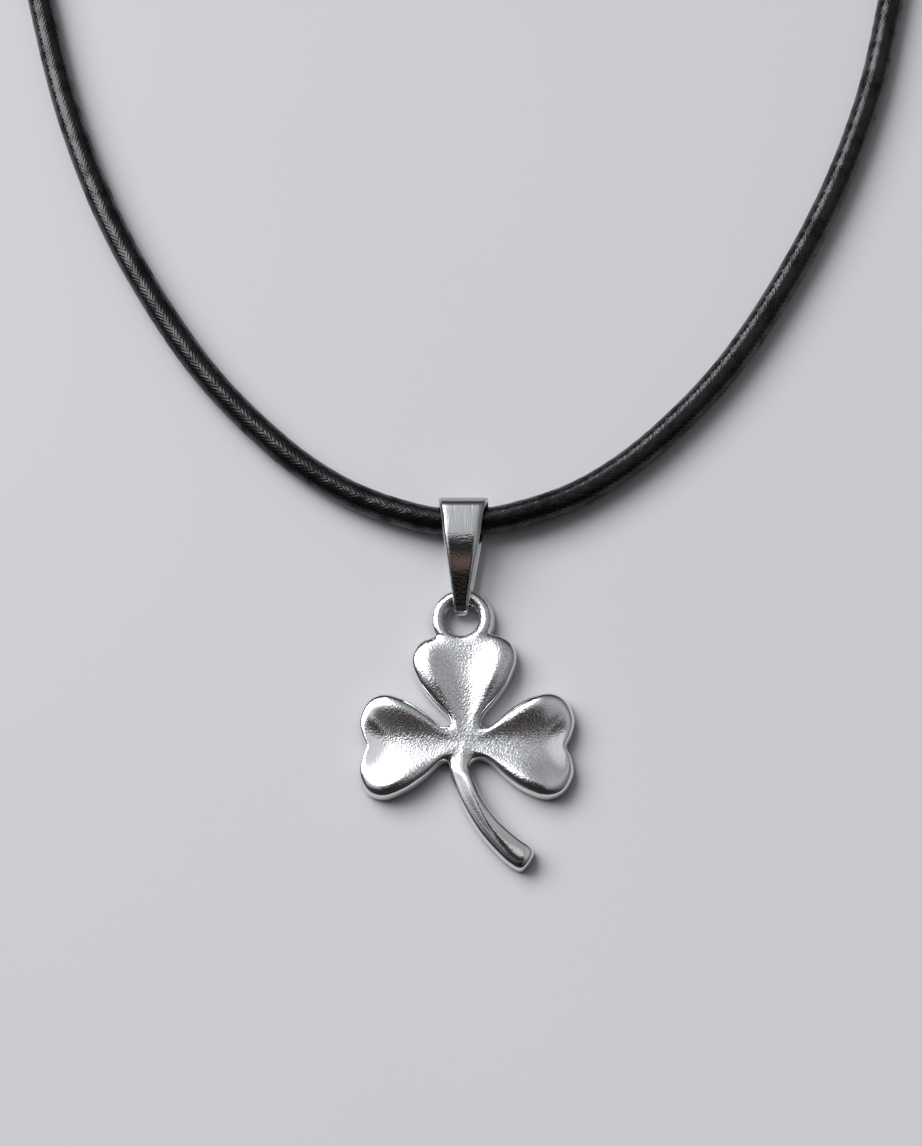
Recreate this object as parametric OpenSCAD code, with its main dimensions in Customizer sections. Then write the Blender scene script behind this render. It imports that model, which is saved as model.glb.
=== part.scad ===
// A cast shamrock pendant lying on its back, hung by a folded bail on a round braided cord.
// The cord is one closed loop, joined behind the neck by a barrel clasp.
// Millimetres, +Z up, +Y from the stem towards the bail, the flat back at z = 0.

/* [Shamrock] */
// Thickness of the casting at the crests of its leaves
cast_t = 2.75; // [2.4:0.05:3.4]
// Length of each leaf from the middle of the hub to its notch
leaf_l = 10.65; // [9.5:0.05:11.5]
// Half width of each leaf across its lobes
leaf_w = 5.35; // [4.8:0.05:5.6]
// Depth of the valley along the middle of each leaf
valley_d = 1; // [0.5:0.05:1.2]
// How far the side wall swells out past the outline through the corner points
wall_swell = 0.38; // [0.24:0.02:0.5]
// Length of the stem along its middle, from the hub's edge
stem_l = 12.95; // [9:0.1:14]

/* [Ring] */
// Radius of the ring to the middle of its wire
ring_r = 2.62; // [2.5:0.02:2.7]
// Width of the ring's wire
ring_wire = 1.6; // [1.4:0.02:1.64]
// Height of the ring's front above the back
ring_h = 2.2; // [2.1:0.05:2.25]

/* [Bail] */
// Thickness of the strap
strap_t = 0.5; // [0.4:0.05:0.5]
// Height of the fold round the cord, outside
fold_h = 4.55; // [4.5:0.05:5]
// Height of the fold round the ring, outside
tip_h = 2.6; // [2.6:0.05:3]
// Width of the strap where it goes over the cord
fold_w = 5.45; // [4:0.05:6.5]
// Width of the strap at the ring
tip_w = 1.45; // [1:0.05:1.8]

/* [Cord] */
// Diameter of the braided cord
cord_d = 3; // [2.6:0.1:3]

/* [Clasp] */
// Outside diameter of the barrel
clasp_d = 5; // [5:0.1:6]
// Length of the barrel
clasp_l = 18; // [16:0.5:24]
// Depth of the socket in each end, in which the cord is glued
socket_l = 4; // [3:0.5:5]

/* [Hidden] */

// Middle of the hub, where the leaves and the stem meet
HUB = [-0.05, -6.8];
// Steps between two rows of a table
FINE = 4;

// One half of a leaf, from the crotch at the hub to the notch.
// columns: along, aside, spine, crest, valley, sunk, fall, drop
// along and aside are shares of leaf_l and leaf_w. spine is the place on the leaf's middle line,
// a share of leaf_l, that the row's spoke starts from. crest is the share of the spoke where the
// valley ends, valley its share of valley_d. The crest is lower than cast_t by sunk near the hub
// and by fall near the tip, and the surface drops by drop to the edge.
LEAF = [
    [0.258, 0.327, 0.15, 0.66, 0.05, 0.62, 0.00, 0.42],
    [0.432, 0.630, 0.36, 0.72, 0.25, 0.44, 0.00, 0.46],
    [0.601, 0.860, 0.55, 0.77, 0.55, 0.12, 0.00, 0.57],
    [0.808, 1.000, 0.71, 0.79, 0.70, 0.00, 0.09, 0.62],
    [0.967, 0.897, 0.79, 0.80, 0.16, 0.00, 0.66, 0.50],
    [1.052, 0.560, 0.84, 0.76, 0.04, 0.00, 0.78, 0.50],
    [1.032, 0.255, 0.87, 0.74, 0.03, 0.00, 0.79, 0.50],
    [0.986, 0.000, 0.89, 0.72, 0.01, 0.00, 0.81, 0.50]
];

// One side of the stem, from the crotch at the hub to the middle of its cut end.
// columns: along, aside, spine, lean, crest, ridge, top, drop
// along and spine are shares of stem_l, the rest is in mm. The ridge lies lean to the right of
// the middle in the upper half, so that the front there slopes down to the left. The lower half
// is rounded all the way across.
STEM = [
    [0.035, 0.82, 0.06, 0.30, 0.70, 0.08, 2.10, 0.48],
    [0.140, 0.84, 0.14, 0.60, 0.75, 0.24, 2.06, 0.50],
    [0.330, 0.84, 0.33, 0.60, 0.75, 0.26, 2.06, 0.50],
    [0.580, 0.92, 0.58, 0.20, 0.40, 0.10, 2.08, 0.38],
    [0.820, 1.05, 0.81, 0.00, 0.12, 0.00, 2.10, 0.32],
    [0.940, 1.10, 0.89, 0.00, 0.12, 0.00, 2.10, 0.32],
    [0.990, 0.93, 0.92, 0.00, 0.20, 0.00, 2.10, 0.32],
    [1.005, 0.45, 0.935, 0.00, 0.30, 0.00, 2.10, 0.32],
    [1.008, 0.00, 0.945, 0.00, 0.35, 0.00, 2.10, 0.32]
];

// The leaves and the stem, anticlockwise from the right leaf, and the crotch before each.
// columns: crotch_x, crotch_y, start_x, start_y, direction, bend in degrees a mm, valley, fall, crest
// crotch and start are measured from the hub; valley, fall and crest are the arm's shares of LEAF's
ARMS = [
    [1.22, -1.62, 0.05, 0, -2, 0, 1, 1, 1],
    [1.68, 1.92, 0.08, 0.5, 91.5, 0, 0.75, 0.70, 0.84],
    [-1.62, 2.12, 0.05, 0, 181, 0, 1, 1, 1],
    [-1.78, -2.02, -0.74, -2.2, -78, 3.5, 0, 0, 0]
];
STEM_ARM = 3;
// At the hub and its crotches: how high the front is, where along a spoke it rolls off, how far it
// falls, and the share of wall_swell that fits in the narrow gap
CROTCH_TOP = 2.1;
CROTCH_CREST = 0.66;
CROTCH_DROP = 0.42;
CROTCH_SWELL = 0.4;

// How far the front edge stands out past the outline
EDGE_OUT = 0.22;
// The casting's side wall, from its front edge to its flat back.
// columns: share of the way out from the front edge to wall_swell, share of the edge's height
WALL = [[0, 1], [0.65, 0.72], [1, 0.30], [0.85, 0]];
// The share of a spoke where the rim starts to roll off at the latest, and how steeply it ends
RIM = 0.78;
STEEP = 0.92;
// How wide the valley's floor is: 1 is a crease, more is a wider floor
VALLEY_CURVE = 2.4;
// Shares of each spoke where the front surface has a ring of points
RINGS = [0, 0.17, 0.35, 0.53, 0.69, 0.81, 0.90, 0.96, 1];

// Middle of the ring
RING_AT = [-0.41, 6.93];
// Section of the ring's wire, round in front and upright below.
// columns: share of ring_wire out from ring_r, share of ring_h
RING_SECTION = [
    [-0.40, 0.28], [0.49, 0.28], [0.54, 0.41], [0.48, 0.61], [0.40, 0.82], [0.20, 0.97],
    [-0.08, 1.00], [-0.36, 0.86], [-0.45, 0.64], [-0.45, 0.45]
];
// How far outside the wire's inner side the hole through the leaf is cut
HOLE_IN = 0.06;
HOLE_R = ring_r + min([for (r = RING_SECTION) r[0]]) * ring_wire + HOLE_IN;
// The ring's root is a low dome that fills the top leaf's notch: its middle and its half sizes
ROOT_AT = [RING_AT[0], 4, 1.12];
ROOT_SIZE = [2.2, 1.4, 1.05];

// Where the bail's front is highest, and the far end of the fold round the ring
TOP_Y = 17.25;
TIP_Y = 7.45;
// The bail lies a little askew: where its end is, and how far it is turned
BAIL_X = -0.47;
BAIL_TURN = -1.3;
// How deep the bail's bevels may go, as a share of the strap's thickness
BEVEL_DEPTH = 0.6;
// The bail's front arches from the cord to the ring. Its radius is this share of the widest one
// that still meets the fold round the ring, and it ends this many degrees past its highest line.
ARCH = 0.87;
ARCH_END = 3.9;

// The bail's edges on its two outer corners.
// columns: share of the way from the ring to the cord, share of the width gained, bevel
TAPER = [
    [0.00, 0.00, 0.22],
    [0.20, 0.19, 0.25],
    [0.45, 0.45, 0.28],
    [0.66, 0.66, 0.30],
    [0.80, 0.76, 0.34],
    [0.90, 0.89, 0.34],
    [1.00, 1.00, 0.06]
];

// The clasp lies across the loop's far end: where it is, and where its sockets end and open
CLASP_Y = 182;
CLASP_Z = clasp_d / 2;
SOCKET_X = clasp_l / 2 - socket_l;
MOUTH_X = clasp_l / 2;
// How far the cord runs straight on out of a socket
LEAD = 5;
// Room for glue between the cord and a socket, at the cord's corners and at its end
SOCKET_GAP = 0.08;
END_X = SOCKET_X + SOCKET_GAP;

// The cord's route, from one socket of the clasp round to the other.
// columns: x, y, height of the cord's middle
ROUTE = [
    [-END_X, CLASP_Y, CLASP_Z], [-MOUTH_X, CLASP_Y, CLASP_Z], [-MOUTH_X - LEAD, CLASP_Y, CLASP_Z],
    [-20.5, 180.5, 2.3], [-28.5, 174.3, 1.7], [-37, 165.5, 1.5],
    [-46, 153, 1.5], [-52, 140, 1.5], [-55, 126, 1.5], [-55.5, 112, 1.5], [-54, 97.8, 1.5],
    [-51.3, 85.6, 1.5], [-46.7, 69.2, 1.5], [-40.1, 53.4, 1.5], [-30.8, 38.2, 1.5],
    [-21.8, 28.2, 1.5], [-13.9, 22.2, 1.6], [-6, 18.8, 2], [0, 17.9, 2.06], [6, 18.7, 2],
    [13.8, 21.8, 1.6], [22, 27.9, 1.5], [30.9, 37.8, 1.5], [40.2, 53.2, 1.5], [46.7, 68.8, 1.5],
    [50.9, 85.4, 1.5], [53.8, 97.8, 1.5], [55.5, 112, 1.5], [55, 126, 1.5], [52, 140, 1.5],
    [46, 153, 1.5], [37, 165.5, 1.5], [28.5, 174.3, 1.7], [20.5, 180.5, 2.3],
    [MOUTH_X + LEAD, CLASP_Y, CLASP_Z], [MOUTH_X, CLASP_Y, CLASP_Z], [END_X, CLASP_Y, CLASP_Z]
];
CORD_SIDES = 8;

// A smooth curve through a, b, c and d, at the share t of the way from b to c
function between(a, b, c, d, t) =
    b + 0.5 * t * (c - a + t * (2 * a - 5 * b + 4 * c - d + t * (3 * (b - c) + d - a)));

// The table's row at i, where the table runs on as its own mirror image past both ends
function mirrored(rows, i) =
    let (last = len(rows) - 1) rows[i < 0 ? -i : i > last ? 2 * last - i : i];

// A point of an arm: along its middle line, which may bend, and aside to its left
function arm_point(arm, along, aside) =
    let (turned = arm[4] + along * arm[5])
    let (middle = arm[5] == 0
        ? along * [cos(arm[4]), sin(arm[4])]
        : 180 / PI / arm[5] * [sin(turned) - sin(arm[4]), cos(arm[4]) - cos(turned)])
    HUB + [arm[2], arm[3]] + middle + aside * [-sin(turned), cos(turned)];

// The rows of arm n as along, aside, spine, lean, crest, valley, top and drop, in mm
function arm_rows(n) = n == STEM_ARM
    ? [for (r = STEM) [r[0] * stem_l, r[1], r[2] * stem_l, r[3], r[4], -r[5], r[6], r[7]]]
    : [for (r = LEAF)
        let (valley = r[4] * ARMS[n][6] * valley_d, top = cast_t - r[5] - r[6] * ARMS[n][7])
        [r[0] * leaf_l, r[1] * leaf_w, r[2] * leaf_l, 0, r[3] * ARMS[n][8], valley, top, r[7]]];

// The outline's corner points all the way round: each crotch, then out along the arm's right
// side and back along its left
CORNERS = [for (n = [0:len(ARMS) - 1])
    let (rows = arm_rows(n), last = len(rows) - 1)
    each concat(
        [HUB + [ARMS[n][0], ARMS[n][1]]],
        [for (i = [0:last]) arm_point(ARMS[n], rows[i][0], -rows[i][1])],
        [for (i = [last - 1:-1:0]) arm_point(ARMS[n], rows[i][0], rows[i][1])])];

// The outline: a smooth closed curve through the corner points
OUTLINE = [for (i = [0:len(CORNERS) - 1], j = [0:FINE - 1])
    let (all = len(CORNERS))
    between(CORNERS[(i + all - 1) % all], CORNERS[i], CORNERS[(i + 1) % all],
        CORNERS[(i + 2) % all], j / FINE)];

// What each spoke of arm n holds: spine point, crest, valley, top, drop and share of wall_swell,
// from the crotch on one side to the crotch on the other. The two sides are the same.
function arm_spokes(n) =
    let (rows = arm_rows(n), last = len(rows))
    let (facts = concat(
        [[HUB[0], HUB[1], CROTCH_CREST, 0, CROTCH_TOP, CROTCH_DROP, CROTCH_SWELL]],
        [for (r = rows) concat(arm_point(ARMS[n], r[2], r[3]), [r[4], r[5], r[6], r[7], 1])]))
    [for (k = [0:2 * last * FINE - 1])
        let (m = k > last * FINE ? 2 * last * FINE - k : k)
        let (i = floor(m / FINE), t = m / FINE - i)
        t == 0 ? facts[i] : between(mirrored(facts, i - 1), facts[i], mirrored(facts, i + 1),
            mirrored(facts, i + 2), t)];

SPOKES = [for (n = [0:len(ARMS) - 1]) each arm_spokes(n)];

// Number of the spoke whose spine point spoke k shares: the first half of each arm has its own
ARM_LENGTHS = [for (n = [0:len(ARMS) - 1]) 2 * len(arm_rows(n)) * FINE];
ARM_STARTS = [for (n = [0:len(ARMS) - 1])
    n == 0 ? 0 : len([for (m = [0:n - 1]) for (k = [1:ARM_LENGTHS[m]]) k])];
SPINE_OF = [for (n = [0:len(ARMS) - 1], k = [0:ARM_LENGTHS[n] - 1])
    k == 0 ? 0 : ARM_STARTS[n] + min(k, ARM_LENGTHS[n] - k)];

// How much of the valley is left at the share t of a spoke whose valley ends at crest
function valley_left(t, crest) = t >= crest ? 0 : pow(1 - pow(t / crest, VALLEY_CURVE), 2);

// How far the surface has rolled off at the share t of a spoke, from 0 to 1: part of an
// ellipse's quarter, which stops short of upright
function rolled(t, from) =
    t <= from ? 0
    : let (u = (t - from) / (1 - from)) (1 - sqrt(1 - STEEP * u * u)) / (1 - sqrt(1 - STEEP));

// Height of the front surface at the share t of a spoke
function front_z(spoke, t) =
    spoke[4] - spoke[3] * valley_left(t, spoke[2]) - spoke[5] * rolled(t, min(spoke[2], RIM));

// Unit vector out of the outline at point k
function outward(k) =
    let (all = len(OUTLINE))
    let (run = OUTLINE[(k + 1) % all] - OUTLINE[(k + all - 1) % all])
    [run[1], -run[0]] / norm(run);

// Where the casting's side is beside point k of the outline, when it stands out by the length out,
// less in the narrow gaps
function side_point(k, out) = OUTLINE[k] + out * SPOKES[k][6] * outward(k);

// The leaves, hub and stem as one closed solid: rings of points from the spine out to the
// front edge, down the wall, and back to the spine along the flat back
module leaves_and_stem() {
    all = len(OUTLINE);
    front = [for (t = RINGS, k = [0:all - 1])
        let (spine = [SPOKES[k][0], SPOKES[k][1]], p = spine + t * (side_point(k, EDGE_OUT) - spine))
        [p[0], p[1], front_z(SPOKES[k], t)]];
    wall = [for (w = [1:len(WALL) - 1], k = [0:all - 1])
        let (p = side_point(k, EDGE_OUT + WALL[w][0] * (wall_swell - EDGE_OUT)))
        [p[0], p[1], WALL[w][1] * front_z(SPOKES[k], 1)]];
    back = [for (k = [0:all - 1]) [SPOKES[k][0], SPOKES[k][1], 0]];
    rows = len(RINGS) + len(WALL);
    function id(r, k) =
        let (m = k % all) r * all + (r == 0 || r == rows - 1 ? SPINE_OF[m] : m);
    quads = [for (r = [0:rows - 2], k = [0:all - 1])
        [id(r, k), id(r + 1, k), id(r + 1, k + 1), id(r, k + 1)]];
    halves = [for (q = quads) each [[q[0], q[2], q[1]], [q[0], q[3], q[2]]]];
    polyhedron(concat(front, wall, back),
        [for (f = halves) if (f[0] != f[1] && f[1] != f[2] && f[2] != f[0]) f], convexity = 8);
}

// The casting: the leaves and stem with the ring that the bail hangs in
module shamrock() {
    color("silver") {
        difference() {
            union() {
                leaves_and_stem();
                translate(ROOT_AT)
                    scale(ROOT_SIZE)
                        sphere(r = 1, $fn = 36);
            }
            translate([RING_AT[0], RING_AT[1], -1])
                cylinder(r = HOLE_R, h = cast_t + 2, $fn = 72);
        }
        translate([RING_AT[0], RING_AT[1], 0])
            rotate_extrude($fn = 72)
                polygon([for (r = RING_SECTION) [ring_r + r[0] * ring_wire, r[1] * ring_h]]);
    }
}

// The bail's side view is three arcs: a fold round the cord, the long arch of the front, and a
// small fold round the ring. The runs between them are straight.
TIP_R = tip_h / 2;
FRONT_L = TOP_Y - TIP_Y - TIP_R;
ARCH_R = ARCH * (FRONT_L * FRONT_L / (fold_h - tip_h) + fold_h) / 2;
ARCH_Z = fold_h - ARCH_R;
FOLD_R = (ARCH_Z + ARCH_R * cos(ARCH_END)) / (1 + cos(ARCH_END));
FOLD_Y = TOP_Y + (ARCH_R - FOLD_R) * sin(ARCH_END);
// Outward angle where the arch turns into the small fold
FRONT_END = atan2(ARCH_Z - TIP_R, FRONT_L) + acos((TIP_R - ARCH_R) / norm([FRONT_L, ARCH_Z - TIP_R]));
// columns: middle along Y, middle's height, radius, first angle, last angle, steps
ARCS = [
    [FOLD_Y, FOLD_R, FOLD_R, -90, 90 - ARCH_END, 14],
    [TOP_Y, ARCH_Z, ARCH_R, 90 - ARCH_END, FRONT_END, 9],
    [TIP_Y + TIP_R, TIP_R, TIP_R, FRONT_END, 270, 12]
];

// Outline of the bail's side view, moved inwards by inset
function bail_loop(inset) = [for (c = ARCS)
    for (i = [(c[3] > 0 && c[3] < 90 ? 1 : 0):c[5]])
        let (a = c[3] + i / c[5] * (c[4] - c[3]))
        [c[0] + (c[2] - inset) * cos(a), c[1] + (c[2] - inset) * sin(a)]];

// Half width and bevel of the strap at a place along Y
function taper_at(y) =
    let (share = min(1, max(0, (y - TIP_Y) / (FOLD_Y + FOLD_R - TIP_Y))))
    let (i = max([for (k = [0:len(TAPER) - 2]) if (TAPER[k][0] <= share) k]))
    let (t = (share - TAPER[i][0]) / (TAPER[i + 1][0] - TAPER[i][0]))
    let (row = TAPER[i] + t * (TAPER[i + 1] - TAPER[i]))
    [(tip_w + row[1] * (fold_w - tip_w)) / 2, row[2]];

// The bail: one tapered strap folded into a closed loop round the cord and the ring
module bail() {
    outer = bail_loop(0);
    inner = bail_loop(strap_t);
    all = len(outer);
    // Six corners of the strap's section at each place of the loop, bevelled outside
    points = [for (k = [0:all - 1])
        let (o = outer[k], i = inner[k])
        let (t = taper_at(o[0]), cut = min(BEVEL_DEPTH, t[1] / strap_t))
        let (m = o + cut * (i - o))
        each [
            [-t[0] + t[1], o[0], o[1]], [t[0] - t[1], o[0], o[1]], [t[0], m[0], m[1]],
            [t[0], i[0], i[1]], [-t[0], i[0], i[1]], [-t[0], m[0], m[1]]
        ]];
    quads = [for (k = [0:all - 1], s = [0:5])
        [k * 6 + s, k * 6 + (s + 1) % 6, (k + 1) % all * 6 + (s + 1) % 6, (k + 1) % all * 6 + s]];
    color("gainsboro")
        translate([BAIL_X, TIP_Y, 0])
            rotate([0, 0, BAIL_TURN])
                translate([0, -TIP_Y, 0])
                    polyhedron(points,
                        [for (q = quads) each [[q[0], q[1], q[2]], [q[0], q[2], q[3]]]],
                        convexity = 6);
}

// The cord's own line: a smooth curve through the route
CORD_LINE = [for (i = [0:len(ROUTE) - 2], j = [0:1])
    let (last = len(ROUTE) - 1)
    between(ROUTE[max(i - 1, 0)], ROUTE[i], ROUTE[i + 1], ROUTE[min(i + 2, last)], j / 2)];

// The radius to the cord's corners, where its flat sides are cord_d apart
CORNER_R = cord_d / 2 / cos(180 / CORD_SIDES);

// The cord: an eight-sided tube along its line, lying on one of its sides
module cord() {
    line = [for (p = concat(CORD_LINE, [ROUTE[len(ROUTE) - 1]])) [p[0], p[1], max(p[2], cord_d / 2)]];
    last = len(line) - 1;
    rings = [for (k = [0:last])
        let (run = line[min(k + 1, last)] - line[max(k - 1, 0)])
        let (ahead = run / norm(run))
        let (flat = cross([0, 0, 1], ahead), side = flat / norm(flat), up = cross(ahead, side))
        for (s = [0:CORD_SIDES - 1])
            let (a = 360 * (s + 0.5) / CORD_SIDES)
            line[k] + CORNER_R * (cos(a) * side + sin(a) * up)];
    walls = [for (k = [0:last - 1], s = [0:CORD_SIDES - 1])
        let (a = k * CORD_SIDES + s, b = k * CORD_SIDES + (s + 1) % CORD_SIDES)
        each [[a, a + CORD_SIDES, b], [b, a + CORD_SIDES, b + CORD_SIDES]]];
    ends = [
        [for (s = [0:CORD_SIDES - 1]) s],
        [for (s = [CORD_SIDES - 1:-1:0]) last * CORD_SIDES + s]
    ];
    color("black") polyhedron(rings, concat(walls, ends), convexity = 10);
}

// The clasp: a plain barrel with a seam round its middle and a glued socket in each end
module clasp() {
    bore = CORNER_R + SOCKET_GAP;
    out = clasp_d / 2;
    rim = 0.4;
    seam = 0.25;
    color("silver")
        translate([0, CLASP_Y, CLASP_Z])
            rotate([0, 90, 0])
                rotate_extrude($fn = 48)
                    polygon([
                        [0, -SOCKET_X], [bore, -SOCKET_X], [bore, -MOUTH_X],
                        [out - rim, -MOUTH_X], [out, rim - MOUTH_X], [out, -seam],
                        [out - seam, 0], [out, seam], [out, MOUTH_X - rim],
                        [out - rim, MOUTH_X], [bore, MOUTH_X], [bore, SOCKET_X], [0, SOCKET_X]
                    ]);
}

shamrock();
bail();
cord();
clasp();
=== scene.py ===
import math

import bmesh
import bpy
import numpy as np
from mathutils import Matrix, Vector


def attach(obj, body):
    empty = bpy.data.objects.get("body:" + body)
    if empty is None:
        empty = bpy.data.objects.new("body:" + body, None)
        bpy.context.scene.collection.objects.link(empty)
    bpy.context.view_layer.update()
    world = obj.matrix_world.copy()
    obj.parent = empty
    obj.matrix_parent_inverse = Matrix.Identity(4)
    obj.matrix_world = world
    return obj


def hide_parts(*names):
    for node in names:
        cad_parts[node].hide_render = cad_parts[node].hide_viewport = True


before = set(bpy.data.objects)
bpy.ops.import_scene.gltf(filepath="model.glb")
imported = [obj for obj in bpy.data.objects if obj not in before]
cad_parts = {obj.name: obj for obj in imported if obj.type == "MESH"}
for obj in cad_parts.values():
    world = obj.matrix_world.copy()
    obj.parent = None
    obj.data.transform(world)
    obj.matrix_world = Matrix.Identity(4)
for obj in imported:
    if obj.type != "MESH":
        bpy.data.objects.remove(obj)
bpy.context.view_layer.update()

# Camera: a macro lens looks down on the pendant, tilted a little to the stem's side and a little to
# the right. The focal length is for a sensor whose long side is 36 mm.
MM = 0.001
CAMERA_AIM = np.array([-0.59, 12.71, 0.0]) * MM
CAMERA_DISTANCE = 240 * MM
CAMERA_NEAR = 10 * MM
TILT_TO_STEM = math.radians(17.5)
TILT_TO_RIGHT = math.radians(3.4)
SENSOR = 36.0
LENS = 68.6

towards_camera = Vector((math.tan(TILT_TO_RIGHT), -math.tan(TILT_TO_STEM), 1)).normalized()
camera_right = Vector((0, 1, 0)).cross(towards_camera).normalized()
camera_up = towards_camera.cross(camera_right)
camera = bpy.data.objects.new("camera", bpy.data.cameras.new("camera"))
camera.data.lens = LENS
camera.data.sensor_width = SENSOR
camera.data.clip_start = CAMERA_NEAR
camera.matrix_world = Matrix.Translation(Vector(CAMERA_AIM) + CAMERA_DISTANCE * towards_camera) @ Matrix(
    (camera_right, camera_up, towards_camera)).transposed().to_4x4()
bpy.context.scene.collection.objects.link(camera)
bpy.context.scene.camera = camera

# Cord: a round braid of black waxed yarn, 3 mm thick, laid down as one loop. Both ends are glued
# into the barrel clasp at the back of the loop, and the bail hangs on the middle of it.
CORD_D = 3.0 * MM
CORD_ROUTE = np.array([
    [-5.08, 182, 2.5], [-9, 182, 2.5], [-14, 182, 2.5], [-20.5, 180.5, 2.3], [-28.5, 174.3, 1.7],
    [-37, 165.5, 1.5], [-46, 153, 1.5], [-52, 140, 1.5], [-55, 126, 1.5], [-55.5, 112, 1.5], [-54, 97.8, 1.5],
    [-51.3, 85.6, 1.5], [-46.7, 69.2, 1.5], [-40.1, 53.4, 1.5], [-30.8, 38.2, 1.5],
    [-21.8, 28.2, 1.5], [-13.9, 22.2, 1.6], [-6, 18.8, 2], [0, 17.9, 2.06], [6, 18.7, 2],
    [13.8, 21.8, 1.6], [22, 27.9, 1.5], [30.9, 37.8, 1.5], [40.2, 53.2, 1.5], [46.7, 68.8, 1.5],
    [50.9, 85.4, 1.5], [53.8, 97.8, 1.5], [55.5, 112, 1.5], [55, 126, 1.5], [52, 140, 1.5],
    [46, 153, 1.5], [37, 165.5, 1.5], [28.5, 174.3, 1.7], [20.5, 180.5, 2.3], [14, 182, 2.5],
    [9, 182, 2.5], [5.08, 182, 2.5],
]) * MM
# points of the curve on each stretch of the route, then the spacing of the mesh's rings and the sides of
# a ring
ROUTE_STEPS = 24
CORD_STEP = 0.23 * MM
CORD_SIDES = 40
# the braid: strands, length of one full turn of a strand, depth of its grooves, how round a strand
# is across, how far one dips where it passes under another, and the yarns in it
CORD_STRANDS = 8
CORD_LAY = 15.0 * MM
CORD_RELIEF = 0.035 * MM
STRAND_ROUND = 0.96
UNDER_DIP = 0.45
YARNS = 3.0
# the wax over it: cells of its fine and its patchy unevenness, share of the fine one in the relief of
# the yarns, and how rough the wax is at its smoothest and how much more at its roughest
YARN_DEPTH = 0.014 * MM
WAX_CELLS = 2500.0
PATCH_CELLS = 420.0
WAX_SHARE = 0.4
WAX_ROUGH, WAX_ROUGHER = 0.05, 0.16
# share of the yarns in the gloss, and the range of patchiness that takes it from least to full
GLOSS_YARNS = 0.20
GLOSS_PATCHES = 0.45, 0.60
GLOSS_LEAST = 0.3
CORD_DARK = (0.002, 0.002, 0.003, 1)
CORD_PALE = (0.005, 0.005, 0.006, 1)


def curve_through(points, steps, ends="still"):
    """A smooth curve through the points: on each stretch, a cubic whose slope at a point is half
    the way from the point before it to the point after it. Beyond an end stands the end point again
    when it is still, the point next to the end when it is mirrored, and the other end's point when
    the curve is closed."""
    before, after = {
        "still": (points[:1], points[-1:]),
        "mirrored": (points[1:2], points[-2:-1]),
        "closed": (points[-1:], points[:2]),
    }[ends]
    p = np.concatenate([before, points, after])
    a, b, c, d = (p[i:len(p) - 3 + i, None, :] for i in range(4))
    t = (np.arange(steps) / steps)[None, :, None]
    on = b + 0.5 * t * (c - a + t * (2 * a - 5 * b + 4 * c - d + t * (3 * (b - c) + d - a)))
    line = on.reshape(-1, points.shape[1])
    return line if ends == "closed" else np.concatenate([line, points[-1:]])


def even_steps(line, step):
    """The same line with points a given length apart, found along its running length."""
    run = np.concatenate([[0], np.cumsum(np.linalg.norm(np.diff(line, axis=0), axis=1))])
    at = np.linspace(0, run[-1], int(round(run[-1] / step)) + 1)
    return np.stack([np.interp(at, run, line[:, i]) for i in range(3)], 1), at


def grid_mesh(name, grid, uv=None, wrap_rows=False, caps=False):
    """A mesh on a grid of points whose columns close into rings: every four neighbours make a
    face, wrap_rows joins the last row to the first, and caps closes both end rings flat. uv is the
    width of a column and the length of a row on the piece's own UV map."""
    rows, columns = grid.shape[:2]
    r = np.arange(rows if wrap_rows else rows - 1)[:, None]
    c = np.arange(columns)[None, :]
    corners = [(r, c), (r, c + 1), (r + 1, c + 1), (r + 1, c)]
    faces = np.stack([(i % rows) * columns + j % columns for i, j in corners], -1).reshape(-1, 4)
    polygons = faces.tolist()
    if caps:
        polygons += [list(range(columns))[::-1], [(rows - 1) * columns + i for i in range(columns)]]
    mesh = bpy.data.meshes.new(name)
    mesh.from_pydata(grid.reshape(-1, 3).tolist(), [], polygons)
    if uv is not None:
        across, along = uv
        corner_uv = np.stack([
            np.stack(np.broadcast_arrays(j * across, i * along), -1) for i, j in corners], 2)
        flat = np.zeros((len(mesh.loops), 2), np.float32)
        flat[:faces.size] = corner_uv.reshape(-1, 2)
        mesh.uv_layers.new(name="UVMap").data.foreach_set("uv", flat.ravel())
    mesh.polygons.foreach_set("use_smooth", np.ones(len(mesh.polygons), bool))
    mesh.update()
    piece = bpy.data.objects.new(name, mesh)
    bpy.context.scene.collection.objects.link(piece)
    return piece


def braid_height(around, along):
    """Height of a plain braid, from 0 in its grooves to 1: strands wind both ways, and each
    crossing shows a crown of the strand on top, which alternates from one crossing to the next. A
    crown is part of an ellipse across the strand, less a parabola's dip along it."""
    right = CORD_STRANDS * (around + along / CORD_LAY)
    left = CORD_STRANDS * (around - along / CORD_LAY)
    across_right = 2 * (right - np.floor(right)) - 1
    across_left = 2 * (left - np.floor(left)) - 1
    over = (np.floor(right) + np.floor(left)) % 2 < 1
    across = np.where(over, across_right, across_left)
    down = np.where(over, across_left, across_right)
    return np.sqrt(np.clip(1 - STRAND_ROUND * across ** 2, 0, 1)) * (1 - UNDER_DIP * down ** 2)


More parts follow.
